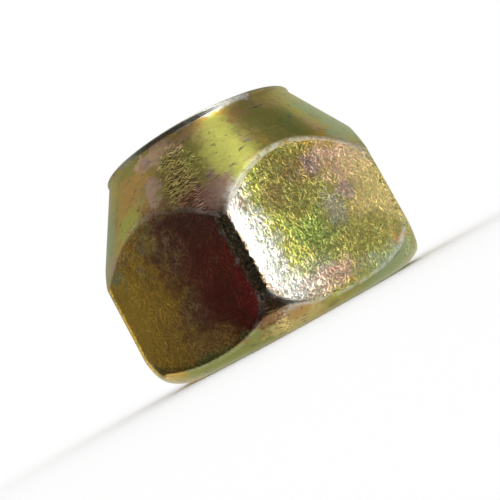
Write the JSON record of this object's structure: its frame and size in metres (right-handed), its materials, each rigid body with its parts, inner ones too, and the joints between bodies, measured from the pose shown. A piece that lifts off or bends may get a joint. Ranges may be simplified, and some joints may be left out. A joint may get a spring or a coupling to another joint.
{
  "type": "lug nut",
  "caption": "Open-ended wheel lug nut: a hexagon with rounded corners, a rolled-under flat base, a conical seat and a threaded through hole, in yellow zinc plate.",
  "frame": {"origin": "centre of the flat base, on the axis of the hole", "axes": "+Z along the hole from the base towards the small end of the conical seat; two of the six corners lie on the Y axis, and two flats face +X and -X"},
  "size_m": [0.021, 0.024, 0.0162],
  "materials": {
    "yellow_zinc_steel": "steel, zinc plated and yellow passivated: satin, gold to olive with a green and pink iridescence, grained hexagon flats and a smoother turned seat"
  },
  "bodies": {
    "root": {"nut": "yellow_zinc_steel"}
  },
  "joints": []
}
